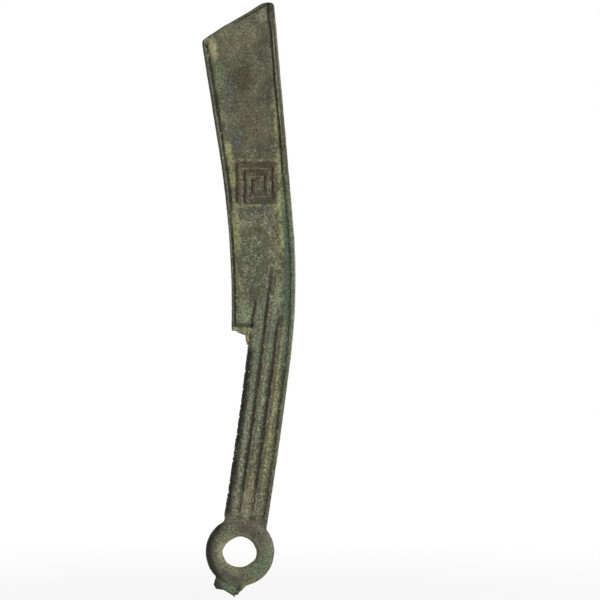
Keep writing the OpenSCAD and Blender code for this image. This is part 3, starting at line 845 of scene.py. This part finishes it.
def patina(slot):
    """The patina of one slot, made once: cast bronze from the ground, brown under grey earth and green crust.

    The eye sees a matt, speckled skin that turns brown where lines are rubbed, dark in grooves and
    yellow-green beside the rims. Some of its dark and light is painted: painted shade along the outline, the
    handle's edge side and ribs, the ring's outer edge and inside the obverse spine rim, a painted shadow above
    the heel's rim, a painted highlight on the spine rim's crest, and painted light on that rim's slope and
    beside the hole. That mineral skin hides the metal, so nothing shines as metal does. All slots share one
    pattern, so it runs on over the borders of the pieces.
    """
    title = TITLES[slot]
    if title in bpy.data.materials:
        return bpy.data.materials[title]
    colours = bpy.context.scene.knife_patina
    material = bpy.data.materials.new(title)
    material.use_nodes = True
    tree = material.node_tree
    shader = tree.nodes["Principled BSDF"]

    # Place on the coin in millimetres, and the same place shaken for ragged borders
    object_place = add(tree, "TexCoord").outputs["Object"]
    place = add(tree, "VectorMath", {0: object_place}, {"Scale": 1 / MM}, operation="SCALE").outputs[0]
    shake = add(tree, "TexNoise", {"Vector": place}, {"Scale": 1 / SHAKE_SIZE, "Detail": 3})
    centred = add(tree, "VectorMath", {0: shake.outputs["Color"]}, {1: (0.5, 0.5, 0.5)}, operation="SUBTRACT")
    ragged = add(tree, "VectorMath", {0: centred.outputs[0], 2: place}, {1: (SHAKE_REACH,) * 3},
                 operation="MULTIPLY_ADD").outputs[0]

    # Measures: place, gaps and heights that the pieces carry, and noise at the sizes that the patina shows
    axes = add(tree, "SeparateXYZ", {0: place})
    flat = add(tree, "VectorMath", {0: place}, {1: (1, 0, 1)}, operation="MULTIPLY")
    measures = {"x": axes.outputs[0], "y": axes.outputs[1], "z": axes.outputs[2]}
    measures["radius"] = add(tree, "VectorMath", {0: flat.outputs[0]}, operation="LENGTH").outputs["Value"]
    for name in ("height", "outline", *GAPS):
        measures[name] = add(tree, "Attribute", attribute_name=name + "_mm").outputs["Fac"]
    for name, size in NOISES.items():
        texture = add(tree, "TexNoise", {"Vector": place}, {"Scale": 1 / size, "Detail": 2})
        measures[name] = texture.outputs[0]
    level = add(tree, "Math", {0: measures["thread"]}, {1: 0.5}, operation="SUBTRACT")
    measures["vein"] = add(tree, "Math", {0: level.outputs[0]}, operation="ABSOLUTE").outputs[0]
    grains = add(tree, "TexVoronoi", {"Vector": place}, {"Scale": 1 / SPECK_SIZE})
    measures["speck"] = grains.outputs["Distance"]

    # Field: brown metal under grey dust, then a thin green
    dust = add(tree, "Math", {0: measures["tone"], 1: measures["cloud"]}, operation="ADD").outputs[0]
    dusty = add(tree, "MapRange", {0: dust}, {1: 0.75, 2: 1.25}, clamp=False).outputs[0]
    shade = add(tree, "Mix", {0: dusty}, {6: colours.field_dark, 7: colours.field_light},
                data_type="RGBA").outputs[2]
    greened = add(tree, "MapRange", {0: measures["mottle"]}, {1: 0.45, 2: 0.65, 4: 0.55}, **STEP).outputs[0]
    shade = add(tree, "Mix", {0: greened, 6: shade}, {7: colours.green}, data_type="RGBA").outputs[2]

    # Smooth steps over a measure, each made once, where it is first used
    steps = {}
    for bound in FACES.values():
        measure, bare, full = bound
        steps[bound] = add(tree, "MapRange", {0: measures[measure]}, {1: bare, 2: full}, **STEP).outputs[0]

    for face, across, up, half_width, half_height, lean, colour, strength in PATCHES.values():
        spread = add(tree, "Mapping", {"Vector": ragged}, {
            "Location": (across, 0, up),
            "Rotation": (0, math.radians(lean), 0),
            "Scale": (half_width, 1000, half_height),
        }, vector_type="TEXTURE")
        away = add(tree, "VectorMath", {0: spread.outputs[0]}, operation="LENGTH").outputs["Value"]
        inside = add(tree, "MapRange", {0: away}, {1: 1.4, 2: 0.45, 4: strength}, **STEP).outputs[0]
        shown = add(tree, "Math", {0: inside, 1: steps[FACES[face]]}, operation="MULTIPLY").outputs[0]
        shade = add(tree, "Mix", {0: shown, 6: shade}, {7: linear(colour)}, data_type="RGBA").outputs[2]

    for colour, strength, *bounds in COATS.values():
        share = None
        for bound in bounds:
            if bound not in steps:
                measure, bare, full = bound
                made = add(tree, "MapRange", {0: measures[measure]}, {1: bare, 2: full}, **STEP)
                steps[bound] = made.outputs[0]
            if share is None:
                share = add(tree, "Math", {0: steps[bound]}, {1: strength}, operation="MULTIPLY").outputs[0]
            else:
                share = add(tree, "Math", {0: share, 1: steps[bound]}, operation="MULTIPLY").outputs[0]
        shade = add(tree, "Mix", {0: share, 6: shade}, {7: linear(colour)}, data_type="RGBA").outputs[2]

    # Fine light and dark over everything, then the matt skin
    grit = add(tree, "Math", {0: measures["powder"], 1: measures["dust"]}, operation="ADD").outputs[0]
    speckle = add(tree, "MapRange", {0: grit}, {1: 0.7, 2: 1.3, 3: 0.4, 4: 1.65}).outputs[0]
    calm = add(tree, "MapRange", {0: measures["y"]}, {1: -0.1, 2: 0.1, 3: 1, 4: 0.7}).outputs[0]
    bright = add(tree, "Mix", {0: calm, 3: speckle}, {2: 1}).outputs[0]
    speckled = add(tree, "HueSaturation", {"Value": bright, "Color": shade}).outputs[0]
    tree.links.new(speckled, shader.inputs["Base Color"])
    rough = add(tree, "MapRange", {0: measures["grain"]}, {1: 0.3, 2: 0.7, 3: 0.6, 4: 0.9}).outputs[0]
    tree.links.new(rough, shader.inputs["Roughness"])
    shader.inputs["Specular IOR Level"].default_value = 0.25
    bump = add(tree, "Bump", {"Height": measures["dust"]}, {"Strength": 0.5, "Distance": 0.08 * MM})
    tree.links.new(bump.outputs[0], shader.inputs["Normal"])
    return material


def seen_share(tree):
    """A share that is 1 for what the camera sees, also in reflections and through glass, and else 0."""
    path = add(tree, "LightPath")
    seen = path.outputs["Is Camera Ray"]
    for ray in ("Is Glossy Ray", "Is Transmission Ray"):
        seen = add(tree, "Math", {0: seen, 1: path.outputs[ray]}, operation="MAXIMUM").outputs[0]
    return seen


class KNIFE_OT_casting(bpy.types.Operator):
    """Joins the solids into one skin and wears it."""

    bl_idname = "knife.casting"
    bl_label = "Pour and wear the casting"

    def execute(self, context):
        settings = context.scene.knife_casting
        body = placed("casting", merged([name for name in frame["nodes"] if name != "heel_flash"]))
        skinned(body, settings.voxel)
        work["casting"] = body
        work["outline"] = outline_tree(body.data)
        for kind, endings in GAPS.items():
            work[kind] = {sign: relief_tree(face, endings) for face, sign in SIGNS.items()}
        work["outline_gap"] = outline_gaps(spots_of(body.data)[0])
        softened(body, settings.soften)
        up = spots_of(body.data)[0][:, 2]
        softened_where(body, (up > RING_R) & (up < HEEL_Z - 1), settings.soften_handle)
        worn(body.data, settings)
        filleted(body, settings)
        marked(body.data)
        return {"FINISHED"}


class KNIFE_OT_rims(bpy.types.Operator):
    """Cuts the rims of both faces out of the casting, those that touch one after the other."""

    bl_idname = "knife.rims"
    bl_label = "Cut the rims"

    def execute(self, context):
        for endings in (("spine_rim", "edge_rim"), ("tip_rim", "handle_rim")):
            portions([name for name in RAISED if name.endswith(endings)])
        return {"FINISHED"}


class KNIFE_OT_lines(bpy.types.Operator):
    """Cuts the handle's ribs and the marks of both faces out of the casting."""

    bl_idname = "knife.lines"
    bl_label = "Cut the ribs and marks"

    def execute(self, context):
        portions([name for name in RAISED if not name.endswith("_rim")])
        return {"FINISHED"}


class KNIFE_OT_ring(bpy.types.Operator):
    """Cuts the ring out of the casting, and then the stub under it."""

    bl_idname = "knife.ring"
    bl_label = "Cut the ring and stub"

    def execute(self, context):
        bm = bmesh.new()
        bmesh.ops.create_cone(
            bm, cap_ends=True, segments=RING_SIDES, radius1=RING_R * MM, radius2=RING_R * MM,
            depth=2 * CUTTER_REACH * MM)
        turn = Vector((0, 1, 0)).to_track_quat("Z", "X").to_matrix()
        bmesh.ops.rotate(bm, matrix=turn, verts=bm.verts)
        tool = placed("ring_cutter", bm)
        portion("ring", tool)
        cut(work["casting"], tool, "DIFFERENCE")
        removed(tool)
        tool = slice_between(-20, 0)
        portion("casting_stub", tool)
        removed(tool)
        return {"FINISHED"}


class KNIFE_OT_webs(bpy.types.Operator):
    """Cuts what is left of the casting at the heel, into the plates of the handle and the blade."""

    bl_idname = "knife.webs"
    bl_label = "Cut the plates"

    def execute(self, context):
        for name, low, high in (("handle_web", 0, HEEL_Z), ("blade_web", HEEL_Z, 140)):
            tool = slice_between(low, high)
            portion(name, tool)
            removed(tool)
        removed(work.pop("casting"))
        return {"FINISHED"}


class KNIFE_OT_flash(bpy.types.Operator):
    """Makes the ragged fin of metal under the heel."""

    bl_idname = "knife.flash"
    bl_label = "Make the heel flash"

    def execute(self, context):
        fin = placed("portion_heel_flash", merged(["heel_flash"]))
        skinned(fin, FLASH_VOXEL * MM)
        spots, normals = spots_of(fin.data)
        points = [Vector(spot) for spot in spots]
        swell = 0.2 + 0.16 * ripples(points, 0.6, 6) + 0.05 * ripples(points, 0.3, 7)
        spots[:, 2] = HEEL_Z - (HEEL_Z - spots[:, 2]) * FLASH_LONGER
        right = spots[:, 0].max()
        spots[:, 0] = right - (right - spots[:, 0]) * FLASH_WIDER
        moved = spots + normals * swell[:, None]
        fin.data.vertices.foreach_set("co", (moved * MM).ravel())
        fin.data.update()
        marked(fin.data)
        finished(fin, "heel_flash")
        return {"FINISHED"}


class KNIFE_OT_stage(bpy.types.Operator):
    """Makes the pale floor, the soft lamps, the world and the camera."""

    bl_idname = "knife.stage"
    bl_label = "Set the stage"

    def execute(self, context):
        scene = context.scene
        settings = scene.knife_stage
        low, high = cad_box

        # Floor: white for the camera and for reflections, and still dark in the coin's shadow
        bm = bmesh.new()
        bmesh.ops.create_grid(bm, x_segments=1, y_segments=1, size=FLOOR_HALF)
        bmesh.ops.translate(bm, vec=(0, 0, low.z), verts=bm.verts)
        floor = placed("floor", bm)
        paper = bpy.data.materials.new("Matt white paper")
        paper.use_nodes = True
        tree = paper.node_tree
        tree.nodes.clear()
        seen = seen_share(tree)
        spread = add(tree, "TexCoord").outputs["Object"]
        away = add(tree, "VectorMath", {0: spread}, operation="LENGTH").outputs["Value"]
        whiter = add(tree, "MapRange", {0: away}, {1: 0.02, 2: 0.2, 3: 0.88, 4: 1},
                     interpolation_type="SMOOTHSTEP").outputs[0]
        share = add(tree, "Math", {0: seen, 1: whiter}, operation="MULTIPLY").outputs[0]
        matt = add(tree, "BsdfDiffuse", values={"Color": settings.floor})
        glow = add(tree, "Emission", values={"Color": (1, 1, 1, 1), "Strength": 1})
        blend = add(tree, "MixShader", {0: share, 1: matt.outputs[0], 2: glow.outputs[0]})
        add(tree, "OutputMaterial", {0: blend.outputs[0]})
        floor.data.materials.append(paper)

        # World: even soft light, white where it is seen
        world = bpy.data.worlds.new("Studio")
        scene.world = world
        world.use_nodes = True
        tree = world.node_tree
        tree.nodes.clear()
        seen = seen_share(tree)
        strength = add(tree, "MapRange", {0: seen}, {3: settings.sky, 4: 1}).outputs[0]
        sky = add(tree, "Background", {1: strength}, {0: (1, 1, 1, 1)})
        add(tree, "OutputWorld", {0: sky.outputs[0]})

        # Soft lamps, one for each face, low and to the right of who looks at that face
        middle = Vector((settings.aim_x, 0, settings.aim_z))
        for name, sign in SIGNS.items():
            lamp = bpy.data.lights.new("lamp_" + name, "AREA")
            lamp.shape = "RECTANGLE"
            lamp.size, lamp.size_y = LAMP_SIZE
            lamp.energy = settings.key
            obj = bpy.data.objects.new("lamp_" + name, lamp)
            across, out, up = LAMP_PLACE
            obj.location = (-sign * across, sign * out, up)
            obj.rotation_euler = (middle - obj.location).to_track_quat("-Z", "Y").to_euler()
            obj.visible_camera = False
            scene.collection.objects.link(obj)

        # Camera: a long lens square to the obverse
        data = bpy.data.cameras.new("camera")
        data.lens = settings.lens
        camera = bpy.data.objects.new("camera", data)
        away = settings.view_width * settings.lens / data.sensor_width
        camera.location = middle - Vector((0, away, 0))
        camera.rotation_euler = (math.radians(90), 0, 0)
        scene.collection.objects.link(camera)
        scene.camera = camera
        scene.view_settings.view_transform = "Standard"
        return {"FINISHED"}


class KNIFE_PT_panel(bpy.types.Panel):
    """Lists the steps that make the coin."""

    bl_label = "Knife coin"
    bl_idname = "KNIFE_PT_panel"
    bl_space_type = "VIEW_3D"
    bl_region_type = "UI"
    bl_category = "Knife coin"

    def draw(self, context):
        for operator in OPERATORS:
            self.layout.operator(operator.bl_idname)
        for name in SETTINGS:
            settings = getattr(context.scene, name)
            for key in settings.bl_rna.properties.keys():
                if key not in ("rna_type", "name"):
                    self.layout.prop(settings, key)


SETTINGS = {
    "knife_casting": CastingSettings,
    "knife_patina": PatinaSettings,
    "knife_stage": StageSettings,
}
OPERATORS = (
    KNIFE_OT_casting, KNIFE_OT_rims, KNIFE_OT_lines, KNIFE_OT_ring, KNIFE_OT_webs, KNIFE_OT_flash,
    KNIFE_OT_stage,
)


def register():
    for cls in (*SETTINGS.values(), *OPERATORS, KNIFE_PT_panel):
        bpy.utils.register_class(cls)
    for name, cls in SETTINGS.items():
        setattr(bpy.types.Scene, name, bpy.props.PointerProperty(type=cls))


def unregister():
    for name in SETTINGS:
        delattr(bpy.types.Scene, name)
    for cls in (KNIFE_PT_panel, *reversed(OPERATORS), *SETTINGS.values()):
        bpy.utils.unregister_class(cls)


def main():
    register()
    bpy.ops.knife.casting()
    bpy.ops.knife.rims()
    bpy.ops.knife.lines()
    bpy.ops.knife.ring()
    bpy.ops.knife.webs()
    bpy.ops.knife.flash()
    bpy.ops.knife.stage()


if __name__ == "__main__":
    main()
